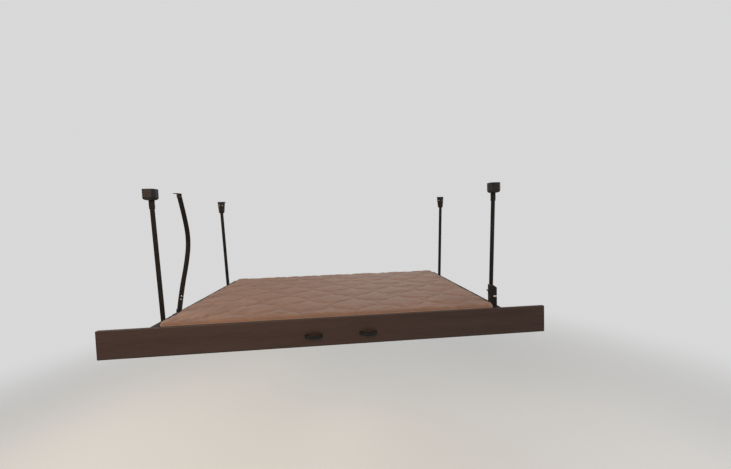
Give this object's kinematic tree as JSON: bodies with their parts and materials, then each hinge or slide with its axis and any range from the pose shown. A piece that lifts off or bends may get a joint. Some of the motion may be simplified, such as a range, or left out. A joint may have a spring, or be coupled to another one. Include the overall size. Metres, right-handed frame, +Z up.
{
  "type": "drop-down bunk",
  "caption": "Drop-down bunk of a motorhome: a mattress on a frame behind a long face board, hung on flat belts from ceiling brackets, which a shaft in the frame winds in.",
  "frame": {"origin": "centre of the ceiling bolt pattern, in the plane of the ceiling", "axes": "+Z up, +X across the vehicle to the right, +Y forwards, so the face board is at the -Y end"},
  "size_m": [2.45, 1.309, 0.89],
  "materials": {
    "board": "satin",
    "pull": "satin",
    "mattress": "matte",
    "plywood": "matte",
    "dark_frame": "satin",
    "pale_tube": "satin",
    "lining": "matte",
    "steel": "satin",
    "webbing": "matte",
    "gear_housing": "satin",
    "dark_plastic": "matte",
    "dark_bracket": "satin",
    "pale_clip": "matte",
    "pale_roller": "satin"
  },
  "bodies": {
    "mounting": {"ceiling_bracket_near_left": "dark_bracket", "belt_clamp_near_left": "dark_bracket", "belt_end_near_left": "webbing", "lift_belt_near_left": "webbing", "ceiling_bracket_near_right": "dark_bracket", "belt_clamp_near_right": "dark_bracket", "belt_end_near_right": "webbing", "lift_belt_near_right": "webbing", "ceiling_bracket_far_left": "dark_bracket", "belt_clamp_far_left": "dark_bracket", "belt_end_far_left": "webbing", "lift_belt_far_left": "webbing", "ceiling_bracket_far_right": "dark_bracket", "belt_clamp_far_right": "dark_bracket", "belt_end_far_right": "webbing", "lift_belt_far_right": "webbing", "belt_cover_left": "dark_plastic", "belt_cover_right": "dark_plastic", "slack_strap": "webbing", "strap_plate": "dark_bracket"},
    "bunk": {"face_board": "board", "pull_left": "pull", "pull_right": "pull", "mattress": "mattress", "deck_panel": "plywood", "side_rail_left": "dark_frame", "side_rail_right": "dark_frame", "rear_rail": "dark_frame", "front_rail": "pale_tube", "cross_bar_1": "pale_tube", "cross_bar_2": "pale_tube", "cross_bar_3": "pale_tube", "belly_panel": "lining", "board_angle_left": "steel", "board_angle_right": "steel", "belt_run_near_left": "webbing", "belt_run_near_right": "webbing", "belt_run_far_left": "webbing", "belt_run_far_right": "webbing", "roller_pin_left": "steel", "roller_pin_right": "steel", "gearbox": "gear_housing", "lift_motor": "dark_plastic", "switch_box": "dark_plastic", "box_clip": "pale_clip", "strap_tab": "dark_bracket"},
    "drive_shaft": {"drive_shaft": "steel", "belt_drum_left": "gear_housing", "belt_drum_right": "gear_housing", "belt_wrap_left": "webbing", "belt_wrap_right": "webbing"},
    "corner_roller_left": {"corner_roller_left": "pale_roller"},
    "corner_roller_right": {"corner_roller_right": "pale_roller"}
  },
  "joints": [
    {"name": "bunk_lift", "type": "slide", "parent": "mounting", "child": "bunk", "axis": [0, 0, 1], "range_m": [0, 0.55], "deforming": ["lift_belt_near_left", "lift_belt_near_right", "lift_belt_far_left", "lift_belt_far_right", "slack_strap"]},
    {"name": "drive_shaft_turn", "type": "hinge", "parent": "bunk", "child": "drive_shaft", "pos_m": [0, 0.4903, -0.853], "axis": [1, 0, 0], "range_deg": [-5, 1270]},
    {"name": "corner_roller_left_turn", "type": "hinge", "parent": "bunk", "child": "corner_roller_left", "pos_m": [-0.965, -0.4437, -0.857], "axis": [1, 0, 0], "range_deg": [-5, 1490]},
    {"name": "corner_roller_right_turn", "type": "hinge", "parent": "bunk", "child": "corner_roller_right", "pos_m": [0.965, -0.4437, -0.857], "axis": [1, 0, 0], "range_deg": [-5, 1490]}
  ],
  "couplings": [
    {"joint": "drive_shaft_turn", "follows": "bunk_lift", "rad_per_m": 40},
    {"joint": "corner_roller_left_turn", "follows": "bunk_lift", "rad_per_m": 46.948},
    {"joint": "corner_roller_right_turn", "follows": "bunk_lift", "rad_per_m": 46.948}
  ]
}
